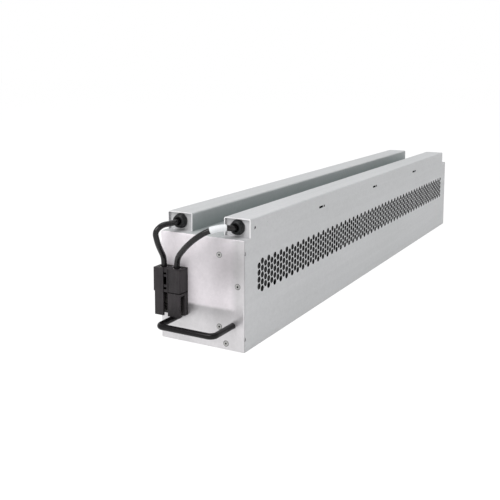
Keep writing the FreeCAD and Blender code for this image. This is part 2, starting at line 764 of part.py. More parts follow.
def sheet_pad(label, sizes, place):
    item = primitive("Part::Box", label, sizes, place)
    item.Label = label
    parts.append(item)


block_total = int(value("block_count"))
for number in range(1, block_total + 1):
    battery_block(number)
sheet_pad("floor_insulator", {"Length": "block_width", "Width": "case_length - 2 * (sheet_thickness + front_room)",
                              "Height": "floor_sheet"}, ("-block_width / 2", "first_block", "sheet_thickness"))
sheet_pad("front_pad", {"Length": "front_pad_size", "Width": "front_room", "Height": "front_pad_size"},
          ("-front_pad_left", "sheet_thickness", "front_pad_low"))
sheet_pad("rear_pad", {"Length": "rear_pad_width", "Width": "rear_room", "Height": "rear_pad_height"},
          ("-rear_pad_width / 2", "first_block + block_count * block_depth", "rear_pad_low"))
doc.recompute()

# Links, channel leads and free leads are shaped from the sheet's values
case_middle = value("case_length / 2")
lid_top = value("block_floor + block_height")
socket_floor = lid_top + 0.2
wire_height = lid_top + value("socket_height / 2") + 0.4


def from_front(x, y, z):
    return V(x, y - case_middle, z)


def tab_place(number, side):
    """Middle of a tab's foot, measured from the front."""
    back = value("first_block + %d * block_depth - tab_edge" % number)
    return side * value("tab_side"), back


def socket(number, side):
    """Receptacle pushed over a tab, with a slot for it."""
    x, y = tab_place(number, side)
    long, wide, tall = value("socket_length"), value("socket_width"), value("socket_height")
    gap = value("socket_clearance")
    body = Part.makeBox(wide, long, tall, from_front(x - wide / 2, y - long / 2, socket_floor))
    thick, width = value("tab_thickness") + 2 * gap, value("tab_width") + 2 * gap
    slot = Part.makeBox(thick, width, value("tab_height") + gap, from_front(x - thick / 2, y - width / 2, lid_top))
    return body.cut(slot)


def feature(label, shape):
    item = doc.addObject("Part::Feature", label)
    item.Shape = shape
    item.Label = label
    parts.append(item)
    return item


def block_link(number):
    """Insulated link from one block's right tab to the next block's left tab."""
    x1, y1 = tab_place(number, 1)
    x2, y2 = tab_place(number + 1, -1)
    half = value("socket_width") / 2
    wide, low = value("link_width") / 2, wire_height - value("link_height") / 2
    corners = [(x1 - half, y1 - wide), (x1 - half, y1 + wide), (x2 + half, y2 + wide), (x2 + half, y2 - wide)]
    outline = Part.makePolygon([from_front(x, y, low) for x, y in corners + corners[:1]])
    bar = Part.Face(outline).extrude(V(0, 0, value("link_height")))
    return socket(number, 1).fuse([bar, socket(number + 1, -1)]).removeSplitter()


feature("block_links", Part.makeCompound([block_link(number) for number in range(1, block_total)]))


def route(points, radii=None):
    """Straight runs joined by tangent arcs. Each arc is as large as its two runs allow."""
    edges = []
    used = []
    start = points[0]
    for index in range(1, len(points) - 1):
        before, here, after = points[index - 1], points[index], points[index + 1]
        into, out = here - before, after - here
        turn = into.getAngle(out)
        if radii:
            radius = radii[index - 1]
        else:
            radius = 0.45 * min(into.Length, out.Length) / math.tan(turn / 2)
        used.append(radius)
        reach = radius * math.tan(turn / 2)
        into.normalize()
        out.normalize()
        first, last = here - into * reach, here + out * reach
        bisector = (out - into).normalize()
        middle = here + bisector * (radius / math.cos(turn / 2) - radius)
        edges.append(Part.LineSegment(start, first).toShape())
        edges.append(Part.Arc(first, middle, last).toShape())
        start = last
    edges.append(Part.LineSegment(start, points[-1]).toShape())
    return Part.Wire(edges), used


def ring_wire(start, direction, radius):
    """Many-sided ring square to a direction, with its corners on the radius."""
    sides = int(value("bar_sides"))
    turn = FreeCAD.Rotation(V(0, 0, 1), direction)
    corners = []
    for step in range(sides + 1):
        angle = 2 * math.pi * (step % sides) / sides
        corners.append(start + turn.multVec(V(radius * math.cos(angle), radius * math.sin(angle), 0)))
    return Part.makePolygon(corners)


def tube(wire, start, direction, outer, inner=None):
    """Many-sided tube along a wire, hollow where an inner radius is given."""
    section = ring_wire(start, direction, outer)
    solid = wire.makePipeShell([section], True, False)
    area = Part.Face(section).Area
    if inner:
        hollow = ring_wire(start, direction, inner)
        solid = solid.cut(wire.makePipeShell([hollow], True, False))
        area -= Part.Face(hollow).Area
    ratio = solid.Volume / (area * wire.Length)
    if abs(ratio - 1) > 0.01:
        raise ValueError("a tube's volume is off by %.3f" % ratio)
    return solid


gland_face = value("front_cap_face - gland_length")
lead_radius = value("lead_radius")
gland_across, gland_up = value("cap_middle"), value("gland_height")
barrel_top = value("connector_top - barrel_drop")
pole_back = -value("pole_depth") / 2
left_pole = value("-connector_middle - pole_width / 2")
right_pole = value("-connector_middle + pole_width / 2")


def channel_lead(label, side, number, drop_start):
    """Lead from a block's tab up into the channel, forward along it and through the gland."""
    x, y = tab_place(number, side)
    end = y - value("socket_length") / 2
    points = [
        from_front(side * gland_across, gland_face, gland_up),
        from_front(side * gland_across, drop_start, gland_up),
        from_front(side * (gland_across + 0.6), drop_start + 13, gland_up - 4.5),
        from_front(x - side * 0.4, end - 12, wire_height + 1.2),
        from_front(x, end, wire_height),
    ]
    wire, radii = route(points)
    print(label, "radii", [round(item, 1) for item in radii])
    solid = tube(wire, points[0], points[1] - points[0], lead_radius)
    feature(label, solid.fuse(socket(number, side)))


channel_lead("channel_lead_left", -1, 1, gland_face + 18.5)
channel_lead("channel_lead_right", 1, block_total, tab_place(block_total, 1)[1] - 60)

# Free leads, from the glands' noses to the tops of the contacts' barrels
LEFT_LEAD = [
    (-gland_across, gland_face, gland_up),
    (-gland_across, gland_face - 8, gland_up),
    (-33.9, -5.9, 119.3),
    (-35.2, -13.2, 119.6),
    (-36.7, -19.2, 117.5),
    (-37.8, -22.3, 112.4),
    (-38.4, -21.8, 106.4),
    (-38.8, -18.2, 99.8),
    (-39.2, -13.0, 93.1),
    (left_pole, -8.3, 86.5),
    (left_pole, pole_back, barrel_top + 5.0),
    (left_pole, pole_back, barrel_top),
]
RIGHT_LEAD = [
    (gland_across, gland_face, gland_up),
    (gland_across, gland_face - 5.4, gland_up),
    (31.2, 0.2, 120.9),
    (23.8, -6.4, 121.6),
    (12.4, -12.4, 118.3),
    (2.5, -14.8, 112.1),
    (-6.6, -14.3, 104.9),
    (-15.1, -12.4, 96.8),
    (-21.6, -9.9, 88.5),
    (right_pole, pole_back, barrel_top + 5.5),
    (right_pole, pole_back, barrel_top),
]


def free_lead(label, places):
    points = [from_front(*place) for place in places]
    wire, radii = route(points)
    print(label, "length %.1f" % wire.Length, "radii", [round(item, 1) for item in radii])
    feature(label, tube(wire, points[0], points[1] - points[0], lead_radius))
    return points, radii


free_lead("lead_left", LEFT_LEAD)
right_points, right_radii = free_lead("lead_right", RIGHT_LEAD)

# Sleeve over the right lead's first bend: it starts and ends on straight stretches of the runs
sleeve_start = right_points[2] + (right_points[3] - right_points[2]) * 0.27
sleeve_end = right_points[3] + (right_points[4] - right_points[3]) * 0.59
sleeve_wire, _ = route([sleeve_start, right_points[3], sleeve_end], right_radii[2:3])
sleeve_inner = (lead_radius + value("sleeve_clearance")) / math.cos(math.pi / value("bar_sides"))
feature("lead_sleeve", tube(sleeve_wire, sleeve_start, right_points[3] - right_points[2],
                            sleeve_inner + value("sleeve_wall"), sleeve_inner))

# Every feature has to be sound before anything is written
doc.recompute()
for item in doc.Objects:
    if "Invalid" in item.State or "Error" in item.State:
        raise ValueError("failed feature: %s %s" % (item.Label, item.State))
for item in parts:
    if item.Shape.isNull() or not item.Shape.isValid():
        raise ValueError("bad shape: " + item.Label)
os.makedirs("parts", exist_ok=True)
for item in parts:
    item.Shape.exportStep("parts/%s.step" % item.Label)
print(len(parts), "parts")
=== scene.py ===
import json
import math

import bmesh
import bpy
from mathutils import Matrix, Vector, geometry


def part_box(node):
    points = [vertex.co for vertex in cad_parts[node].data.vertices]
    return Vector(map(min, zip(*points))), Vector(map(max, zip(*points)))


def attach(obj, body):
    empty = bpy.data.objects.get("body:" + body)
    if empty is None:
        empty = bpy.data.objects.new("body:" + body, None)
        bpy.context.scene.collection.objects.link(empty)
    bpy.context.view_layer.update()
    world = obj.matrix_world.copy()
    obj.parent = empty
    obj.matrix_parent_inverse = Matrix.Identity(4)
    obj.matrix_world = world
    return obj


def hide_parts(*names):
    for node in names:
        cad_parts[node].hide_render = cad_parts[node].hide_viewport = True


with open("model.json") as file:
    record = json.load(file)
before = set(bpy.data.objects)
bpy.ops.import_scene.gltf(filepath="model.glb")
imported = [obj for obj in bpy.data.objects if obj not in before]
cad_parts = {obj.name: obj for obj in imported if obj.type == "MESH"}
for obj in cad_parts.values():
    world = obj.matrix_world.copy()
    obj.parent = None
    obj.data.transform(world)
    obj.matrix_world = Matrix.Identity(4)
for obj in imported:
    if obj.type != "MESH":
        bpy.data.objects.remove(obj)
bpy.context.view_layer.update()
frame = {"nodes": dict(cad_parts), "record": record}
nodes = frame["nodes"]
scene = bpy.context.scene

ACROSS, BACK, UP = range(3)


def span(node, axis):
    """Lowest and highest place of a CAD node along an axis, in millimetres."""
    return [round(corner[axis] * 1000, 2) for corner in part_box(node)]


# Sizes in millimetres. Places are (across, back from the front plate's face, up).
FRONT = span("front_plate", BACK)[0]
HALF = span("front_plate", ACROSS)[1]
BOX = span("front_plate", UP)[1]
FULL = span("side_sheet_right", UP)[1]
LENGTH = span("rear_plate", BACK)[1] - FRONT
SHEET = 1.0
FOLD = 1.8
SEAM = span("side_sheet_right", BACK)[0] - FRONT
CHANNEL_INNER = span("side_sheet_right", ACROSS)[0]
CHANNEL_START = 12.5
CHANNEL_END = 700.0
CAP_FACE = span("channel_front_cap_right", BACK)[0] - FRONT
GLAND_ACROSS = (CHANNEL_INNER + HALF) / 2
GLAND_UP = (BOX + FULL) / 2


def place(across, back, up):
    """A place in the row frame, in metres."""
    return Vector((across / 1000, (FRONT + back) / 1000, up / 1000))


# Shader helpers

MATERIALS = {}


def new_material(name):
    """Plain material, kept under its name. Gives its node tree and its shader."""
    material = bpy.data.materials.new(name)
    material.use_nodes = True
    MATERIALS[name] = material
    tree = material.node_tree
    return tree, tree.nodes["Principled BSDF"]


def add(tree, kind, **values):
    """Node with some of its settings and inputs."""
    node = tree.nodes.new(kind)
    for name, value in values.items():
        if name in node.inputs:
            node.inputs[name].default_value = value
        else:
            setattr(node, name, value)
    return node


def maths(tree, operation, *values):
    """Result of a Math node over outputs and plain numbers."""
    node = add(tree, "ShaderNodeMath", operation=operation)
    for index, value in enumerate(values):
        if isinstance(value, float):
            node.inputs[index].default_value = value
        else:
            tree.links.new(value, node.inputs[index])
    return node.outputs[0]


def ramp(tree, source, stops, interpolation="LINEAR"):
    """Colour ramp over a factor. Stops are (position, grey or colour)."""
    node = tree.nodes.new("ShaderNodeValToRGB")
    elements = node.color_ramp.elements
    for element, (position, colour) in zip(elements, stops):
        element.position = position
        if not isinstance(colour, tuple):
            colour = (colour, colour, colour)
        element.color = colour + (1.0,)
    node.color_ramp.interpolation = interpolation
    tree.links.new(source, node.inputs["Fac"])
    return node.outputs["Color"]


def map_range(tree, source, low, high, to_low=0.0, to_high=1.0):
    """Straight change from one value to another while the source goes from low to high."""
    node = add(tree, "ShaderNodeMapRange")
    for name, value in (("From Min", low), ("From Max", high), ("To Min", to_low), ("To Max", to_high)):
        node.inputs[name].default_value = value
    tree.links.new(source, node.inputs["Value"])
    return node.outputs["Result"]


def coordinates(tree, stretch=(1.0, 1.0, 1.0)):
    """Object coordinates in metres, stretched by three scales."""
    source = tree.nodes.new("ShaderNodeTexCoord")
    mapping = add(tree, "ShaderNodeMapping", Scale=stretch)
    tree.links.new(source.outputs["Object"], mapping.inputs["Vector"])
    return mapping.outputs["Vector"]


def axes(tree):
    """Object coordinates as the outputs X, Y and Z."""
    parts = tree.nodes.new("ShaderNodeSeparateXYZ")
    tree.links.new(coordinates(tree), parts.inputs[0])
    return parts.outputs


def texture(tree, kind, stretch=(1.0, 1.0, 1.0), **values):
    """Texture node over stretched object coordinates."""
    node = add(tree, kind, **values)
    tree.links.new(coordinates(tree, stretch), node.inputs["Vector"])
    return node.outputs


def noise(tree, stretch=(1.0, 1.0, 1.0), **values):
    return texture(tree, "ShaderNodeTexNoise", stretch, **values)["Fac"]


def bump(tree, shader, source, strength, distance):
    """Relief from a height, on top of the relief that the shader has."""
    socket = shader.inputs["Normal"]
    node = add(tree, "ShaderNodeBump", Strength=strength, Distance=distance)
    tree.links.new(source, node.inputs["Height"])
    if socket.links:
        tree.links.new(socket.links[0].from_socket, node.inputs["Normal"])
    tree.links.new(node.outputs["Normal"], socket)


def tint(tree, shader, colour, mask=None):
    """The shader's colour times another one, everywhere or by a mask."""
    socket = shader.inputs["Base Color"]
    node = add(tree, "ShaderNodeMix", data_type="RGBA", blend_type="MULTIPLY")
    node.inputs["Factor"].default_value = 1.0
    tree.links.new(socket.links[0].from_socket, node.inputs["A"])
    tree.links.new(colour, node.inputs["B"])
    if mask is not None:
        tree.links.new(mask, node.inputs["Factor"])
    tree.links.new(node.outputs["Result"], socket)


def blend_level(tree, shader, name, amount, mask):
    """One input of the shader changes to an amount by a mask."""
    socket = shader.inputs[name]
    node = tree.nodes.new("ShaderNodeMix")
    node.inputs["A"].default_value = socket.default_value
    if socket.links:
        tree.links.new(socket.links[0].from_socket, node.inputs["A"])
    node.inputs["B"].default_value = amount
    tree.links.new(mask, node.inputs["Factor"])
    tree.links.new(node.outputs["Result"], socket)


# Kinds of material

def galvanised(name, low, high, metallic, rough):
    """Zinc-coated sheet: faint spangle, cloudy tone and fine rolling lines along its length."""
    tree, shader = new_material(name)
    cloud = noise(tree, (1.0, 0.45, 1.0), name="cloud", Scale=9.0, Detail=4.0, Roughness=0.55)
    spangle = texture(tree, "ShaderNodeTexVoronoi", (1.0, 0.8, 1.0), Scale=420.0, Randomness=1.0)["Color"]
    lines = noise(tree, (1.0, 0.02, 1.0), Scale=160.0, Detail=2.0)
    tree.links.new(ramp(tree, cloud, [(0.3, low), (0.7, high)]), shader.inputs["Base Color"])
    tint(tree, shader, ramp(tree, spangle, [(0.0, 0.94), (1.0, 1.0)]))
    tint(tree, shader, ramp(tree, lines, [(0.3, 0.955), (0.7, 1.0)]))
    tree.links.new(ramp(tree, cloud, [(0.25, rough[0]), (0.75, rough[1])]), shader.inputs["Roughness"])
    shader.inputs["Metallic"].default_value = metallic
    bump(tree, shader, lines, 0.05, 0.0004)
    return tree, shader


def moulded(name, low, high, rough, grain=900.0, relief=0.12, coat=0.0, gloss=0.5):
    """Moulded plastic, paint or rubber with a fine texture and slightly uneven tone."""
    tree, shader = new_material(name)
    cloud = noise(tree, Scale=60.0, Detail=3.0)
    fine = noise(tree, Scale=grain, Detail=2.0)
    tree.links.new(ramp(tree, cloud, [(0.3, low), (0.7, high)]), shader.inputs["Base Color"])
    sheen = ramp(tree, fine, [(0.3, rough - 0.08), (0.7, rough + 0.08)])
    tree.links.new(sheen, shader.inputs["Roughness"])
    shader.inputs["Specular IOR Level"].default_value = gloss
    shader.inputs["Coat Weight"].default_value = coat
    shader.inputs["Coat Roughness"].default_value = 0.12
    bump(tree, shader, fine, relief, 0.0002)
    return tree, shader


def metal(name, low, high, rough):
    """Plated metal with fine scratches."""
    tree, shader = new_material(name)
    marks = noise(tree, (1.0, 1.0, 0.2), Scale=300.0, Detail=4.0)
    tree.links.new(ramp(tree, marks, [(0.3, low), (0.7, high)]), shader.inputs["Base Color"])
    tree.links.new(ramp(tree, marks, [(0.3, rough), (0.7, rough + 0.15)]), shader.inputs["Roughness"])
    shader.inputs["Metallic"].default_value = 1.0
    return tree, shader


# Changes to a material

# Pitch of a wave texture's bands at scale 1
WAVE_PITCH = 0.314


def recess_shade(tree, reach, stops):
    """Painted shade: colour by how open a place is, seen within a reach in metres."""
    shade = add(tree, "ShaderNodeAmbientOcclusion", Distance=reach, samples=8)
    return ramp(tree, shade.outputs["AO"], stops)


def trough_shade(tree, shader):
    """Painted shade between the channels: there the sheet sees little but itself, so its colour is
    darkened and tinted green-grey.
    """
    deep = recess_shade(tree, 0.04, [(0.3, (0.44, 0.51, 0.5)), (0.97, 1.0)])
    parts = axes(tree)
    between = maths(tree, "LESS_THAN", maths(tree, "ABSOLUTE", parts["X"]), (CHANNEL_INNER + 0.7) / 1000)
    above = maths(tree, "GREATER_THAN", parts["Z"], (BOX - 0.5) / 1000)
    tint(tree, shader, deep, maths(tree, "MULTIPLY", between, above))


def painted_shade_patch(tree, shader, across, up, radius, share):
    """Painted shade in a soft round patch of the front plate, in millimetres, where a share of the tone
    stays; it stands in for dark reflections.
    """
    away = add(tree, "ShaderNodeVectorMath", operation="DISTANCE")
    away.inputs[1].default_value = place(across, 0.0, up)
    tree.links.new(coordinates(tree), away.inputs[0])
    reach = maths(tree, "DIVIDE", away.outputs["Value"], radius / 1000)
    wave = maths(tree, "MULTIPLY_ADD", tree.nodes["cloud"].outputs["Fac"], 0.5, reach)
    tint(tree, shader, ramp(tree, wave, [(0.25, share), (1.0, 1.0)], "EASE"))


def matte_and_painted_light_field(tree, shader, right, low):
    """A dull coating left of one line and above another, in millimetres, with soft edges; its paler tint
    is painted light that brightens that part of the plate.
    """
    parts = axes(tree)
    left_of = map_range(tree, parts["X"], (right + 4.0) / 1000, (right - 4.0) / 1000)
    above = map_range(tree, parts["Z"], (low - 1.5) / 1000, (low + 1.5) / 1000)
    field = maths(tree, "MULTIPLY", left_of, above)
    blend_level(tree, shader, "Roughness", 0.6, field)
    blend_level(tree, shader, "Metallic", 0.1, field)
    painted_light_tint = tree.nodes.new("ShaderNodeRGB").outputs[0]
    painted_light_tint.default_value = (1.29, 1.26, 1.28, 1.0)
    tint(tree, shader, painted_light_tint, field)


def ribbed(tree, shader, pitch, depth):
    """Fine upright ribs on a moulded part. Pitch and depth are in metres."""
    wave = texture(tree, "ShaderNodeTexWave", Scale=WAVE_PITCH / pitch, Distortion=0.4, Detail=1.0,
                   bands_direction="X")
    bump(tree, shader, wave["Fac"], 0.5, depth)


def painted_recess_shade(tree, shader, reach, depth):
    """Painted shade and less gloss in a part's recesses."""
    deep = recess_shade(tree, reach, [(0.25, depth), (0.8, 1.0)])
    tint(tree, shader, deep)
    socket = shader.inputs["Specular IOR Level"]
    tree.links.new(maths(tree, "MULTIPLY", deep, socket.default_value), socket)


# Materials

# Where painted shade darkens the front plate, standing in for dark reflections: (across, up, radius in
# millimetres, share of the tone that stays)
PAINTED_SHADE_PATCHES = ((29, 81, 60, 0.56), (33, 98, 50, 0.8), (20, 52, 55, 0.86), (22, 30, 40, 0.82))

# Sheet metal
sheet = galvanised("galvanised_sheet", (0.61, 0.62, 0.625), (0.67, 0.675, 0.685), 0.3, (0.5, 0.62))
# Painted shade on the trough's walls and floor between the channels
trough_shade(*sheet)
# Painted light: the front plate's sheet has a lighter base than the other sheets, for the face that the
# front lamp lights most
front_sheet = galvanised("front_sheet", (0.7, 0.69, 0.7), (0.75, 0.735, 0.75), 0.7, (0.28, 0.36))
for patch in PAINTED_SHADE_PATCHES:
    painted_shade_patch(*front_sheet, *patch)
# Painted light: the dull field on the front plate is also tinted paler
matte_and_painted_light_field(*front_sheet, right=36.5, low=40.5)
# Painted highlight: near-white sheet for the channels' end faces
galvanised("edge_painted_highlight", (0.97, 0.97, 0.98), 1.0, 0.2, (0.34, 0.5))
# Painted shade: near-black for the walls of the small holes, the faces over the lugs, the rivets' pits
# and the connector's shadow lines
moulded("painted_shade_black", 0.003, 0.006, 0.8, relief=0.1, gloss=0.03)

# Handle and rivets
metal("zinc_fixings", (0.36, 0.36, 0.35), (0.55, 0.55, 0.54), 0.32)
moulded("rivet_joint", 0.15, 0.23, 0.6, relief=0.1, gloss=0.2)
moulded("handle_paint", (0.005, 0.0045, 0.005), (0.008, 0.007, 0.008), 0.2,
        grain=500.0, relief=0.02, coat=0.3, gloss=0.06)

# Glands, leads and connector
moulded("gland_plastic", (0.004, 0.005, 0.006), (0.008, 0.009, 0.01), 0.36, relief=0.08, gloss=0.35)
moulded("lead_insulation", (0.005, 0.0045, 0.005), (0.009, 0.008, 0.009), 0.26,
        grain=700.0, relief=0.05, coat=0.2, gloss=0.3)
moulded("sleeve_plastic", (0.74, 0.77, 0.78), (0.84, 0.86, 0.87), 0.42, grain=500.0, relief=0.06)
housing = moulded("connector_plastic", (0.0145, 0.0122, 0.0138), (0.0275, 0.0235, 0.026), 0.52,
                  grain=1100.0, relief=0.3, gloss=0.35)
ribbed(*housing, pitch=0.0016, depth=0.0007)
# Painted shade in the recesses of the connector's housings and contacts
painted_recess_shade(*housing, reach=0.006, depth=0.03)
painted_recess_shade(*metal("contact_metal", (0.6, 0.58, 0.54), (0.78, 0.76, 0.72), 0.22), reach=0.01, depth=0.05)

# Blocks and padding inside
moulded("battery_plastic", (0.008, 0.008, 0.009), (0.013, 0.013, 0.014), 0.55)
moulded("link_insulation", (0.2, 0.012, 0.012), (0.3, 0.02, 0.02), 0.45)
moulded("insulating_sheet", (0.5, 0.47, 0.38), (0.6, 0.57, 0.48), 0.6)
moulded("foam_pad", 0.02, 0.045, 0.85, grain=1500.0, relief=0.5)

# Each CAD node wears the material that the record names
for part in frame["record"]["subparts"]:
    slots = nodes[part["node"]].data.materials
    slots.clear()
    slots.append(MATERIALS[part["material_slot"]])


# Mesh helpers

# Mean width in metres from which a face is shaded flat
WIDE_FACE = 0.0025


def is_flat(face):
    """True for a wide face, a face of many corners and a triangle in a level sheet."""
    longest = max(edge.calc_length() for edge in face.edges)
    wide = face.calc_area() / max(longest, 1e-9) > WIDE_FACE
    level = len(face.verts) == 3 and any(edge.calc_face_angle(1.0) < 0.005 for edge in face.edges
                                         if len(edge.link_faces) == 2)
    return wide or level or len(face.verts) > 4


def finish_piece(mesh, name, slot, replaced=(), material=None, sharp=32.0):
    """Object from a bmesh, which rides on the body and stands for the replaced nodes.
    Its faces are smooth, with hard edges above an angle."""
    bmesh.ops.remove_doubles(mesh, verts=mesh.verts, dist=1e-7)
    bmesh.ops.recalc_face_normals(mesh, faces=mesh.faces)
    for face in mesh.faces:
        face.smooth = not is_flat(face)
    for edge in mesh.edges:
        if len(edge.link_faces) == 2:
            edge.smooth = edge.calc_face_angle(0.0) < math.radians(sharp)
    data = bpy.data.meshes.new(name)
    mesh.to_mesh(data)
    mesh.free()
    piece = bpy.data.objects.new(name, data)
    scene.collection.objects.link(piece)
    data.materials.append(MATERIALS[material or slot])
    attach(piece, "root")
    if replaced:
        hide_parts(*replaced)
    return piece


def paint(piece, material, chosen):
    """One more material, on the faces for which the test is true."""
    piece.data.materials.append(MATERIALS[material])
    for polygon in piece.data.polygons:
        if chosen(polygon):
            polygon.material_index = len(piece.data.materials) - 1


def arc(across, up, radius, start, end, count):
    """Points on an arc between two angles in degrees, with both ends."""
    angles = [math.radians(start + (end - start) * k / count) for k in range(count + 1)]
    return [(across + radius * math.cos(angle), up + radius * math.sin(angle)) for angle in angles]


def circle(across, up, radius, count, start=0.0):
    return arc(across, up, radius, start, start + 360.0, count)[:-1]


def slot_points(across, up, length, width, count=6):
    """Outline of a slot with round ends, along the first direction."""
    radius = width / 2
    reach = length / 2 - radius
    return (arc(across + reach, up, radius, -90, 90, count)
            + arc(across - reach, up, radius, 90, 270, count))


def rounded_rectangle(inset, radius, count=4):
    """The end plates' outline, moved in by an inset, with round corners."""
    half, low, high = HALF - inset - radius, inset + radius, BOX - inset - radius
    corners = ((half, low, -90), (half, high, 0), (-half, high, 90), (-half, low, 180))
    return [point for x, z, start in corners for point in arc(x, z, radius, start, start + 90, count)]


def add_loop(mesh, points, to_space):
    return [mesh.verts.new(to_space(*point)) for point in points]


def bridge(mesh, first, second, closed=True):
    """Quads between two loops of the same length."""
    count = len(first)
    for k in range(count if closed else count - 1):
        mesh.faces.new((first[k], first[(k + 1) % count], second[(k + 1) % count], second[k]))


def inside(point, outline):
    """Even-odd test of a flat point against an outline."""
    odd = False
    for (x1, y1), (x2, y2) in zip(outline, outline[1:] + outline[:1]):
        if (y1 > point[1]) != (y2 > point[1]) and point[0] < (x2 - x1) * (point[1] - y1) / (y2 - y1) + x1:
            odd = not odd
    return odd


def flat_pattern(outline, holes):
    """Triangles of an outline less its holes, as flat points and triples of indices."""
    points, edges, owner = [], [], []
    for number, loop in enumerate([outline] + holes):
        first = len(points)
        points += [Vector(point) for point in loop]
        edges += [(first + k, first + (k + 1) % len(loop)) for k in range(len(loop))]
        owner += [number] * len(loop)
    made = geometry.delaunay_2d_cdt(points, edges, [], 0, 1e-6)
    triples = []
    for triple in made[2]:
        source = [made[3][index][0] for index in triple]
        owners = {owner[index] for index in source}
        if len(owners) == 1:
            middle = sum((points[index] for index in source), Vector((0, 0))) / 3
            if owners != {0} or not inside(middle, outline):
                continue
        triples.append(source)
    return points, triples


def plate_face(mesh, pattern, to_space):
    """One face of a plate from its flat pattern. Gives the points."""
    points, triples = pattern
    verts = add_loop(mesh, points, to_space)
    for triple in triples:
        mesh.faces.new([verts[index] for index in triple])
    return verts


def plate_rims(mesh, near, far, loops, open_edges=()):
    """Walls through a plate along its loops. The first loop's open edges get none."""
    first = 0
    for number, loop in enumerate(loops):
        for k in range(len(loop)):
            if number or k not in open_edges:
                a, b = first + k, first + (k + 1) % len(loop)
                mesh.faces.new((near[a], near[b], far[b], far[a]))
        first += len(loop)


def block(mesh, low, high):
    """Plain closed box between two corners."""
    corners = [mesh.verts.new(place(x, y, z))
               for x in (low[0], high[0]) for y in (low[1], high[1]) for z in (low[2], high[2])]
    for side in ((0, 1, 3, 2), (4, 6, 7, 5), (0, 4, 5, 1), (2, 3, 7, 6), (0, 2, 6, 4), (1, 5, 7, 3)):
        mesh.faces.new([corners[index] for index in side])


def lathe(mesh, across, up, profile, count, lobes=0, depth=0.0):
    """Profile of (radius, back) turned about an axis along the length. Lobes make shallow flutes,
    with a depth that is a share of the radius."""
    rings = []
    for radius, back in profile:
        ring = []
        for k in range(count):
            angle = 2 * math.pi * k / count
            flute = depth * (0.5 + 0.5 * math.cos(lobes * angle))
            x, z = radius * (1 - flute) * math.cos(angle), radius * (1 - flute) * math.sin(angle)
            ring.append(mesh.verts.new(place(across + x, back, up + z)))
        rings.append(ring)
    for first, second in zip(rings, rings[1:]):
        bridge(mesh, first, second)
    return rings


def tube(mesh, points, radii, count=28):
    """Closed round tube along points in metres, with a radius for each, carried without twist."""
    rings = []
    normal = None
    for index, point in enumerate(points):
        before = points[max(index - 1, 0)]
        after = points[min(index + 1, len(points) - 1)]
        tangent = (after - before).normalized()
        if normal is None:
            normal = tangent.orthogonal().normalized()
        normal = (normal - tangent * normal.dot(tangent)).normalized()
        other = tangent.cross(normal)
        ring = [normal * x + other * y for x, y in circle(0, 0, radii[index], count)]
        rings.append([mesh.verts.new(point + step) for step in ring])
    for first, second in zip(rings, rings[1:]):
        bridge(mesh, first, second)
    mesh.faces.new(rings[0])
    mesh.faces.new(rings[-1])


# Folded side sheets

NOTCHES = (97.0, 13.0)
NOTCH_DEPTH = 2.0
NOTCH_REACH = 1.6
SLOT_PITCH = 177.0
SLOT_SHIFT = 2.5
SLOT_UP = BOX + 4.5
SLOT_SIZE = (16.0, 2.6)
SLOT_BACKS = [(CHANNEL_START + CHANNEL_END) / 2 + SLOT_PITCH * step for step in (-1, 0, 1)]
HOLE_UP = BOX + 9.0
TOOLING_HOLE = 21.5
TOOLING_RADIUS = 1.4
DIMPLE = 46.5
DIMPLE_RADII = (2.6, 1.6)
DIMPLE_DEPTH = 0.35
SLOT_SHADE_DEPTH = 0.3
SLOT_SHADE_ENDS = (-5.2, 5.6)
VENT_FIRST = 30.0
VENT_COLUMNS = 98
VENT_COLUMN_PITCH = 6.8
VENT_ROW_PITCH = 7.0
VENT_MIDDLE = 69.0
VENT_RADIUS = 3.2
FOOT_WIDTH = 7.0
FOOT_ENDS = (24.0, 688.5)
# Index of the outline's edge that goes on into the fold
FOLD_EDGE = 4
# Most that one face of a small hole's wall measures, in square metres
HOLE_WALL_AREA = 2.5e-6


def vent_centres():
    """Columns of four and five vents in turn."""
    for column in range(VENT_COLUMNS):
        rows = 4 + column % 2
        for row in range(rows):
            up = VENT_MIDDLE + (row - (rows - 1) / 2) * VENT_ROW_PITCH
            yield VENT_FIRST + VENT_COLUMN_PITCH * column, up


def wall_outline():
    """Side wall up to the channel's fold, with two notches at the front, in (back, up)."""
    fold_up = FULL - FOLD
    outline = [(SEAM, 0.0), (LENGTH - SEAM, 0.0), (LENGTH - SEAM, BOX), (CHANNEL_END, BOX),
               (CHANNEL_END, fold_up), (CHANNEL_START, fold_up), (CHANNEL_START, BOX), (SEAM, BOX)]
    for middle in NOTCHES:
        high, low, end = middle + NOTCH_REACH, middle - NOTCH_REACH, SEAM + NOTCH_DEPTH
        outline += [(SEAM, high), (end, high), (end, low), (SEAM, low)]
    return outline


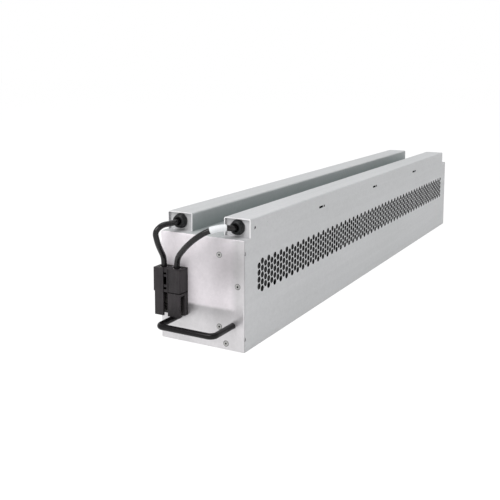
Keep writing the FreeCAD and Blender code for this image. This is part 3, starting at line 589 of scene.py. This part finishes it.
def wall(mesh, side, vents):
    """Side wall with its slots, its tooling hole, a dimple and, on one side, the vents."""
    def outer(back, up):
        return place(side * HALF, back, up)

    def inner(back, up):
        return place(side * (HALF - SHEET), back, up)

    dimple = circle(DIMPLE, HOLE_UP, DIMPLE_RADII[0], 20)
    holes = [slot_points(back + SLOT_SHIFT, SLOT_UP, *SLOT_SIZE) for back in SLOT_BACKS]
    holes.append(circle(TOOLING_HOLE, HOLE_UP, TOOLING_RADIUS, 20))
    if vents:
        holes += [circle(back, up, VENT_RADIUS, 14, 180 / 14) for back, up in vent_centres()]
    holes.append(dimple)
    outline = wall_outline()
    pattern = flat_pattern(outline, holes)
    near, far = plate_face(mesh, pattern, outer), plate_face(mesh, pattern, inner)
    plate_rims(mesh, near, far, [outline] + holes, open_edges=(FOLD_EDGE,))
    # A shallow dish closes the dimple's opening on both faces
    for to_space, across in ((outer, HALF), (inner, HALF - SHEET)):
        ring = add_loop(mesh, circle(DIMPLE, HOLE_UP, DIMPLE_RADII[1], 20),
                        lambda back, up: place(side * (across - DIMPLE_DEPTH), back, up))
        bridge(mesh, add_loop(mesh, dimple, to_space), ring)
        mesh.faces.new(ring)


def slot_shade_faces(mesh, side):
    """Painted shade: a near-black face over each lug, in the front of its slot."""
    across = side * (HALF - SLOT_SHADE_DEPTH)
    low, high = SLOT_UP - SLOT_SIZE[1] / 2, SLOT_UP + SLOT_SIZE[1] / 2
    for back in SLOT_BACKS:
        start, end = [back + reach for reach in SLOT_SHADE_ENDS]
        corners = ((start, low), (end, low), (end, high), (start, high))
        mesh.faces.new(add_loop(mesh, corners, lambda back, up: place(across, back, up)))


def channel(mesh, side):
    """Fold, channel top and inner wall, as an outer and an inner line carried back."""
    lines = []
    for radius, wall_across in ((FOLD, CHANNEL_INNER), (FOLD - SHEET, CHANNEL_INNER + SHEET)):
        lines.append(arc(HALF - FOLD, FULL - FOLD, radius, 0, 90, 7)
                     + arc(CHANNEL_INNER + FOLD, FULL - FOLD, radius, 90, 180, 7) + [(wall_across, BOX)])
    near, far = [[[mesh.verts.new(place(side * x, back, z)) for x, z in line] for line in lines]
                 for back in (CHANNEL_START, CHANNEL_END)]
    for first, second in (*zip(near, far), near, far):
        bridge(mesh, first, second, closed=False)
    mesh.faces.new((near[0][-1], far[0][-1], far[1][-1], near[1][-1]))


def at_channel_end(polygon):
    backs = [place(0, back, 0).y for back in (CHANNEL_START, CHANNEL_END)]
    return min(abs(polygon.center.y - back) for back in backs) < 1e-5


def in_hole(polygon):
    """True for the walls of the small holes and for the faces over the lugs, which are painted near-black
    as shade.
    """
    across = abs(polygon.center.x)
    through = abs(across - (HALF - SHEET / 2) / 1000) < 1e-5 and abs(polygon.normal.x) < 0.1
    slot_shade = abs(across - (HALF - SLOT_SHADE_DEPTH) / 1000) < 1e-5
    return not at_channel_end(polygon) and (slot_shade or through and polygon.area < HOLE_WALL_AREA)


def side_sheet(node, side, vents):
    mesh = bmesh.new()
    wall(mesh, side, vents)
    slot_shade_faces(mesh, side)
    channel(mesh, side)
    # Foot on the lid
    start, end = sorted(side * (CHANNEL_INNER + SHEET + width) for width in (0.0, FOOT_WIDTH))
    block(mesh, (start, FOOT_ENDS[0], BOX), (end, FOOT_ENDS[1], BOX + SHEET))
    piece = finish_piece(mesh, node + "_shell", "galvanised_sheet", [node])
    # Painted highlight on the channels' end faces
    paint(piece, "edge_painted_highlight", at_channel_end)
    # Painted shade on the walls of the small holes and the faces over the lugs
    paint(piece, "painted_shade_black", in_hole)


side_sheet("side_sheet_left", -1, False)
side_sheet("side_sheet_right", 1, True)

# End plates, rivets and handle

PLATE_EDGE = 0.7
PLATE_CORNER = 0.5
EDGE_STEPS = 5
FLANGE_DEPTH = 13.0
SHORT_FLANGE_DEPTH = 7.0
FLANGE_MARGIN = 5.0
RIVETS = [(20.5, 93.5), (41.0, 64.5), (20.5, 22.0), (28.0, 6.3)]
RIVET_HOLE = 1.7
RIVET_HEAD = 2.5
RIVET_JOINT = 3.05
RIVET_PIT = 0.95
ROD = 3.0
ROD_HOLE = 3.15
ROD_BEND = 6.0
ARM_PLACES = (8.0, -10.0, -20.0)
BAR_MARGIN = 20.0
HANDLE_LEFT = span("handle_rod", ACROSS)[0] + ROD
HANDLE_RIGHT = span("handle_rod", ACROSS)[1] - ROD
HANDLE_BACK = span("handle_rod", BACK)[0] + ROD - FRONT
HANDLE_UP = sum(span("handle_rod", UP)) / 2


def end_plate(node, face, direction, holes, material=None):
    """Full-width plate with a rounded edge, and flanges behind it."""
    def at(depth):
        return lambda across, up: place(across, face + direction * depth, up)

    mesh = bmesh.new()
    front = rounded_rectangle(PLATE_EDGE, PLATE_CORNER)
    back = rounded_rectangle(0.0, PLATE_CORNER + PLATE_EDGE)
    near = plate_face(mesh, flat_pattern(front, holes), at(0.0))
    far = plate_face(mesh, flat_pattern(back, holes), at(SHEET))
    count = len(front)
    plate_rims(mesh, near, far, [front] + holes, open_edges=range(count))
    last = near[:count]
    for step in range(1, EDGE_STEPS + 1):
        angle = math.radians(90 * step / EDGE_STEPS)
        inset = PLATE_EDGE * (1 - math.sin(angle))
        outline = rounded_rectangle(inset, PLATE_CORNER + PLATE_EDGE - inset)
        ring = add_loop(mesh, outline, at(PLATE_EDGE * (1 - math.cos(angle))))
        bridge(mesh, last, ring)
        last = ring
    bridge(mesh, last, far[:count])
    start, end = sorted((face + direction * SHEET, face + direction * FLANGE_DEPTH))
    for x in (-HALF + SHEET, HALF - 2 * SHEET):
        block(mesh, (x, start, FLANGE_MARGIN), (x + SHEET, end, BOX - FLANGE_MARGIN))
    start, end = sorted((face + direction * SHEET, face + direction * SHORT_FLANGE_DEPTH))
    for z in (SHEET, BOX - 2 * SHEET):
        block(mesh, (-HALF + FLANGE_MARGIN, start, z), (HALF - FLANGE_MARGIN, end, z + SHEET))
    finish_piece(mesh, node + "_shell", "galvanised_sheet", [node], material)


def rivet_heads():
    """Rivets with a shallow dish and a pit in the head, painted near-black as shade, and a grey joint
    round it.
    """
    profile = [(0.5, 1.2), (RIVET_PIT, 0.1), (RIVET_PIT, -0.35), (1.25, -0.42), (2.0, -0.42), (2.4, -0.3),
               (RIVET_HEAD, -0.06), (RIVET_JOINT, -0.05), (RIVET_JOINT, -0.01), (1.6, 0.0), (1.6, 1.0),
               (2.2, 1.02), (2.2, 2.0), (1.8, 2.2)]
    mesh = bmesh.new()
    for across, up in RIVETS:
        rings = lathe(mesh, across, up, profile, 32)
        mesh.faces.new(rings[0])
        mesh.faces.new(rings[-1])
    piece = finish_piece(mesh, "front_rivet_heads", "zinc_fixings", ["front_rivets"])

    def reaches(polygon):
        """How far a face's corners are from the nearest rivet's axis, in millimetres."""
        corners = [piece.data.vertices[index].co for index in polygon.vertices]
        return [min(math.hypot(corner.x * 1000 - across, corner.z * 1000 - up) for across, up in RIVETS)
                for corner in corners]

    def in_joint(polygon):
        away = reaches(polygon)
        return max(away) > RIVET_JOINT - 0.01 and min(away) > RIVET_HEAD - 0.1

    paint(piece, "rivet_joint", in_joint)
    # Painted shade: the pit in each head is near-black
    paint(piece, "painted_shade_black", lambda polygon: max(reaches(polygon)) < RIVET_PIT + 0.01)


def handle_bow():
    """Two straight arms, two bends and the bar between them."""
    left, right, bar, bend = HANDLE_LEFT, HANDLE_RIGHT, HANDLE_BACK, ROD_BEND
    path = [(left, back) for back in ARM_PLACES]
    path += arc(left + bend, bar + bend, bend, 180, 270, 15)
    path += [(left + BAR_MARGIN, bar), (right - BAR_MARGIN, bar)]
    path += arc(right - bend, bar + bend, bend, 270, 360, 15)
    path += [(right, back) for back in reversed(ARM_PLACES)]
    mesh = bmesh.new()
    tube(mesh, [place(x, y, HANDLE_UP) for x, y in path], [ROD / 1000] * len(path))
    finish_piece(mesh, "handle_bow", "handle_paint", ["handle_rod"])


front_holes = [circle(across, up, RIVET_HOLE, 16) for across, up in RIVETS]
front_holes += [circle(across, HANDLE_UP, ROD_HOLE, 24) for across in (HANDLE_LEFT, HANDLE_RIGHT)]
end_plate("front_plate", 0.0, 1, front_holes, "front_sheet")
end_plate("rear_plate", LENGTH, -1, [])
rivet_heads()
handle_bow()

# Glands: a fluted flange, a domed nose and a recess round the lead

# Radius, and place back from the cap's face
GLAND_PROFILE = [(3.05, 1.5), (3.05, -5.1), (3.4, -5.9), (4.2, -6.5), (5.2, -6.7), (6.1, -6.3),
                 (6.65, -5.4), (6.85, -4.2), (6.95, -2.8), (7.5, -2.3), (7.6, -1.7), (7.6, -0.4),
                 (7.3, -0.02), (4.45, 0.0), (4.45, 6.9), (3.05, 7.0), (3.05, 1.5)]
FLUTES = 8
FLUTE_DEPTH = 0.02

for side, name in ((-1, "left"), (1, "right")):
    mesh = bmesh.new()
    profile = [(radius, CAP_FACE + back) for radius, back in GLAND_PROFILE]
    lathe(mesh, side * GLAND_ACROSS, GLAND_UP, profile, 64, FLUTES, FLUTE_DEPTH)
    finish_piece(mesh, "gland_%s_dome" % name, "gland_plastic", ["gland_" + name], sharp=40.0)

# Leads: the route's points from the glands to the tops of the contacts

LEAD_DIAMETER = 0.0058
TOP = span("connector_contact_left", UP)[1]
LEFT_LEAD = [
    (-33.25, 10.4, 119.25), (-33.25, 2.4, 119.25), (-33.9, -5.9, 119.3), (-35.2, -13.2, 119.6),
    (-36.7, -19.2, 117.5), (-38.6, -22.5, 112.9), (-37.6, -21.6, 106.2), (-38.2, -18.0, 99.6),
    (-39.0, -13.0, 93.1), (-39.25, -8.3, 86.5), (-39.25, -7.25, TOP + 5.0), (-39.25, -7.25, TOP),
]
RIGHT_LEAD = [
    (33.25, 10.4, 119.25), (33.25, 5.0, 119.25), (31.2, 0.2, 120.9), (24.3, -6.4, 121.2),
    (13.9, -12.4, 117.6), (4.4, -14.8, 111.3), (-4.6, -14.3, 104.2), (-13.2, -12.4, 96.4),
    (-20.6, -9.9, 88.5), (-23.75, -7.25, TOP + 5.5), (-23.75, -7.25, TOP),
]


def lead_curve(name, points, resolution):
    """Smooth spline through a lead's route."""
    data = bpy.data.curves.new(name, "CURVE")
    data.dimensions = "3D"
    spline = data.splines.new("NURBS")
    spline.points.add(len(points) - 1)
    for item, point in zip(spline.points, points):
        item.co = place(*point).to_4d()
    spline.order_u = 3
    spline.use_endpoint_u = True
    spline.resolution_u = resolution
    return data


def lead(name, points, replaced):
    data = lead_curve(name, points, 12)
    data.bevel_depth = LEAD_DIAMETER / 2
    data.bevel_resolution = 6
    data.use_fill_caps = True
    piece = bpy.data.objects.new(name, data)
    scene.collection.objects.link(piece)
    data.materials.append(MATERIALS["lead_insulation"])
    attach(piece, "root")
    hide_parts(replaced)
    return piece


def line_of(points):
    """Points along a lead's own spline, and its length, in metres."""
    data = lead_curve("line", points, 16)
    holder = bpy.data.objects.new("line", data)
    flat = bpy.data.meshes.new_from_object(holder)
    line = [vertex.co.copy() for vertex in flat.vertices]
    bpy.data.objects.remove(holder)
    bpy.data.curves.remove(data)
    bpy.data.meshes.remove(flat)
    return line, sum((after - before).length for before, after in zip(line, line[1:]))


lead_left = lead("lead_left_wire", LEFT_LEAD, "lead_left")
lead_right = lead("lead_right_wire", RIGHT_LEAD, "lead_right")
left_length = line_of(LEFT_LEAD)[1]
right_line, right_length = line_of(RIGHT_LEAD)

# White sleeve over the right lead's first bend, in metres, between two lengths along the lead

SLEEVE_START = 0.0127
SLEEVE_END = 0.0295
SLEEVE_RADIUS = 0.00344
SLEEVE_RIMS = (0.00305, 0.0031)
# Height, speed and start of the waves in its wall
SLEEVE_WAVES = ((0.00003, 21, 0), (0.00008, 7, 1))


def sleeve_skin(line):
    """Thin tube round the lead, slightly uneven and drawn in at both ends."""
    stretch = []
    travelled = 0.0
    for here, after in zip(line, line[1:]):
        if SLEEVE_START <= travelled <= SLEEVE_END:
            stretch.append((travelled, here))
        travelled += (after - here).length
    first, last = stretch[0][0], stretch[-1][0]
    radii = []
    for where, _ in stretch:
        part = (where - first) / (last - first)
        waves = sum(height * math.sin(part * speed + start) for height, speed, start in SLEEVE_WAVES)
        radii.append(SLEEVE_RADIUS + waves)
    radii[0], radii[-1] = SLEEVE_RIMS
    mesh = bmesh.new()
    tube(mesh, [point for _, point in stretch], radii)
    return finish_piece(mesh, "lead_sleeve_skin", "sleeve_plastic", ["lead_sleeve"], sharp=60.0)


sleeve = sleeve_skin(right_line)


# Connector: soft edges, and the raised upper body of the right housing with painted shadow lines at its
# lower and left edges

HOUSING_SIDE = span("connector_housing_right", ACROSS)[1]
HOUSING_FACE = span("connector_housing_right", BACK)[0] - FRONT
HOUSING_TOP = span("connector_housing_right", UP)[1]
COLLAR_LEFT = -29.4
COLLAR_BACK = -0.9
COLLAR_LOW = 52.6
COLLAR_TOP = HOUSING_TOP - 0.6
COLLAR_PROUD = 0.45
SHADOW_LINES_LEFT = COLLAR_LEFT - 0.6
SHADOW_LINES_RIGHT = HOUSING_SIDE + 0.28
SHADOW_LINES_FRONT = HOUSING_FACE - 0.06
SHADOW_LINES_BACK = -1.2
SHADOW_LINES_LOW = COLLAR_LOW - 0.7
SHADOW_LINES_TOP = HOUSING_TOP - 0.4
SHADOW_LINE_DEPTH = 1.06
SHADOW_LINE_OVERLAP = 0.1


def soften(piece, width):
    modifier = piece.modifiers.new("edges", "BEVEL")
    modifier.width = width
    modifier.segments = 3
    modifier.limit_method = "ANGLE"
    modifier.angle_limit = math.radians(50)


for name in ("connector_housing_left", "connector_housing_right"):
    soften(nodes[name], 0.0007)

mesh = bmesh.new()
block(mesh, (COLLAR_LEFT, HOUSING_FACE - COLLAR_PROUD, COLLAR_LOW),
      (HOUSING_SIDE + COLLAR_PROUD, COLLAR_BACK, COLLAR_TOP))
soften(finish_piece(mesh, "connector_collar", "connector_plastic"), 0.0009)

# Painted shadow: thin near-black slabs under the raised body's lower edge and beside its left edge
mesh = bmesh.new()
corner = (SHADOW_LINES_LEFT, SHADOW_LINES_FRONT, SHADOW_LINES_LOW)
block(mesh, corner, (SHADOW_LINES_RIGHT, SHADOW_LINES_BACK, COLLAR_LOW + SHADOW_LINE_OVERLAP))
block(mesh, corner, (COLLAR_LEFT + SHADOW_LINE_OVERLAP, SHADOW_LINES_FRONT + SHADOW_LINE_DEPTH, SHADOW_LINES_TOP))
finish_piece(mesh, "connector_shadow_lines", "connector_plastic", material="painted_shade_black")


# Floor and sky, which the camera and reflections see as white

def seen_straight(tree):
    """Light Path's outputs, and 1 for a ray of the camera, of a reflection or through glass."""
    path = tree.nodes.new("ShaderNodeLightPath").outputs
    seen = maths(tree, "MAXIMUM", path["Is Camera Ray"], path["Is Glossy Ray"])
    return path, maths(tree, "MAXIMUM", seen, path["Is Transmission Ray"])


def floor_material(name, share):
    """Pale surface that looks nearly white and keeps the shadows."""
    tree, shader = new_material(name)
    shader.inputs["Base Color"].default_value = (0.9, 0.9, 0.9, 1.0)
    shader.inputs["Roughness"].default_value = 0.9
    shader.inputs["Specular IOR Level"].default_value = 0.0
    white = add(tree, "ShaderNodeEmission", Color=(1.0, 1.0, 1.0, 1.0), Strength=1.08)
    mix = tree.nodes.new("ShaderNodeMixShader")
    tree.links.new(maths(tree, "MULTIPLY", seen_straight(tree)[1], share), mix.inputs["Fac"])
    tree.links.new(shader.outputs["BSDF"], mix.inputs[1])
    tree.links.new(white.outputs[0], mix.inputs[2])
    tree.links.new(mix.outputs[0], tree.nodes["Material Output"].inputs["Surface"])


def floor():
    mesh = bmesh.new()
    bmesh.ops.create_grid(mesh, x_segments=4, y_segments=4, size=12.0)
    data = bpy.data.meshes.new("floor")
    mesh.to_mesh(data)
    mesh.free()
    piece = bpy.data.objects.new("floor", data)
    scene.collection.objects.link(piece)
    floor_material("floor_white", 0.88)
    data.materials.append(MATERIALS["floor_white"])


def sky():
    """The sky fades from the horizon up, as a studio's ceiling does. The camera sees it plain white."""
    world = bpy.data.worlds.new("studio")
    scene.world = world
    world.use_nodes = True
    tree = world.node_tree
    background = tree.nodes["Background"]
    background.inputs["Color"].default_value = (1.0, 1.0, 1.0, 1.0)
    path, seen = seen_straight(tree)
    level = map_range(tree, seen, 0.0, 1.0, 0.72, 1.0)
    parts = tree.nodes.new("ShaderNodeSeparateXYZ")
    tree.links.new(tree.nodes.new("ShaderNodeTexCoord").outputs["Generated"], parts.inputs[0])
    fade = map_range(tree, parts.outputs["Z"], 0.05, 0.8, 1.0, 0.5)
    strength = maths(tree, "MAXIMUM", maths(tree, "MULTIPLY", level, fade), path["Is Camera Ray"])
    tree.links.new(strength, background.inputs["Strength"])


floor()
sky()


# Lights and camera

def area_light(name, position, target, size, power, colour):
    """Rectangular lamp that shines from its position towards a target, in metres."""
    data = bpy.data.lights.new(name, "AREA")
    data.shape = "RECTANGLE"
    data.size, data.size_y = size
    data.energy = power
    data.color = colour
    light = bpy.data.objects.new(name, data)
    scene.collection.objects.link(light)
    light.location = position
    light.rotation_euler = (Vector(position) - Vector(target)).to_track_quat("Z", "Y").to_euler()


area_light("front", (-0.3, -1.9, 2.1), (0.0, -0.3, 0.06), (2.2, 1.6), 46.0, (1.0, 0.965, 0.985))
area_light("top", (0.0, 0.35, 1.9), (0.0, 0.1, 0.1), (1.2, 1.2), 8.0, (0.93, 1.0, 1.0))

PHOTO_WIDTH_PIXELS = 500.0
FOCAL_LENGTH_PIXELS = 758.11
CAMERA_PLACE = place(393.62, -609.63, 269.76)
CAMERA_RIGHT = Vector((0.87359, 0.48666, 0.00223))
CAMERA_UP = Vector((-0.05901, 0.10138, 0.9931))
CAMERA_BACK = Vector((0.48307, -0.86769, 0.11728))

camera_data = bpy.data.cameras.new("camera")
camera_data.sensor_width = 36.0
camera_data.lens = camera_data.sensor_width * FOCAL_LENGTH_PIXELS / PHOTO_WIDTH_PIXELS
camera_data.shift_y = -0.18
camera_data.clip_start = 0.01
camera = bpy.data.objects.new("camera", camera_data)
scene.collection.objects.link(camera)
scene.camera = camera
turn = Matrix((CAMERA_RIGHT, CAMERA_UP, CAMERA_BACK)).transposed().to_4x4()
camera.matrix_world = Matrix.Translation(CAMERA_PLACE) @ turn

scene.view_settings.view_transform = "Standard"
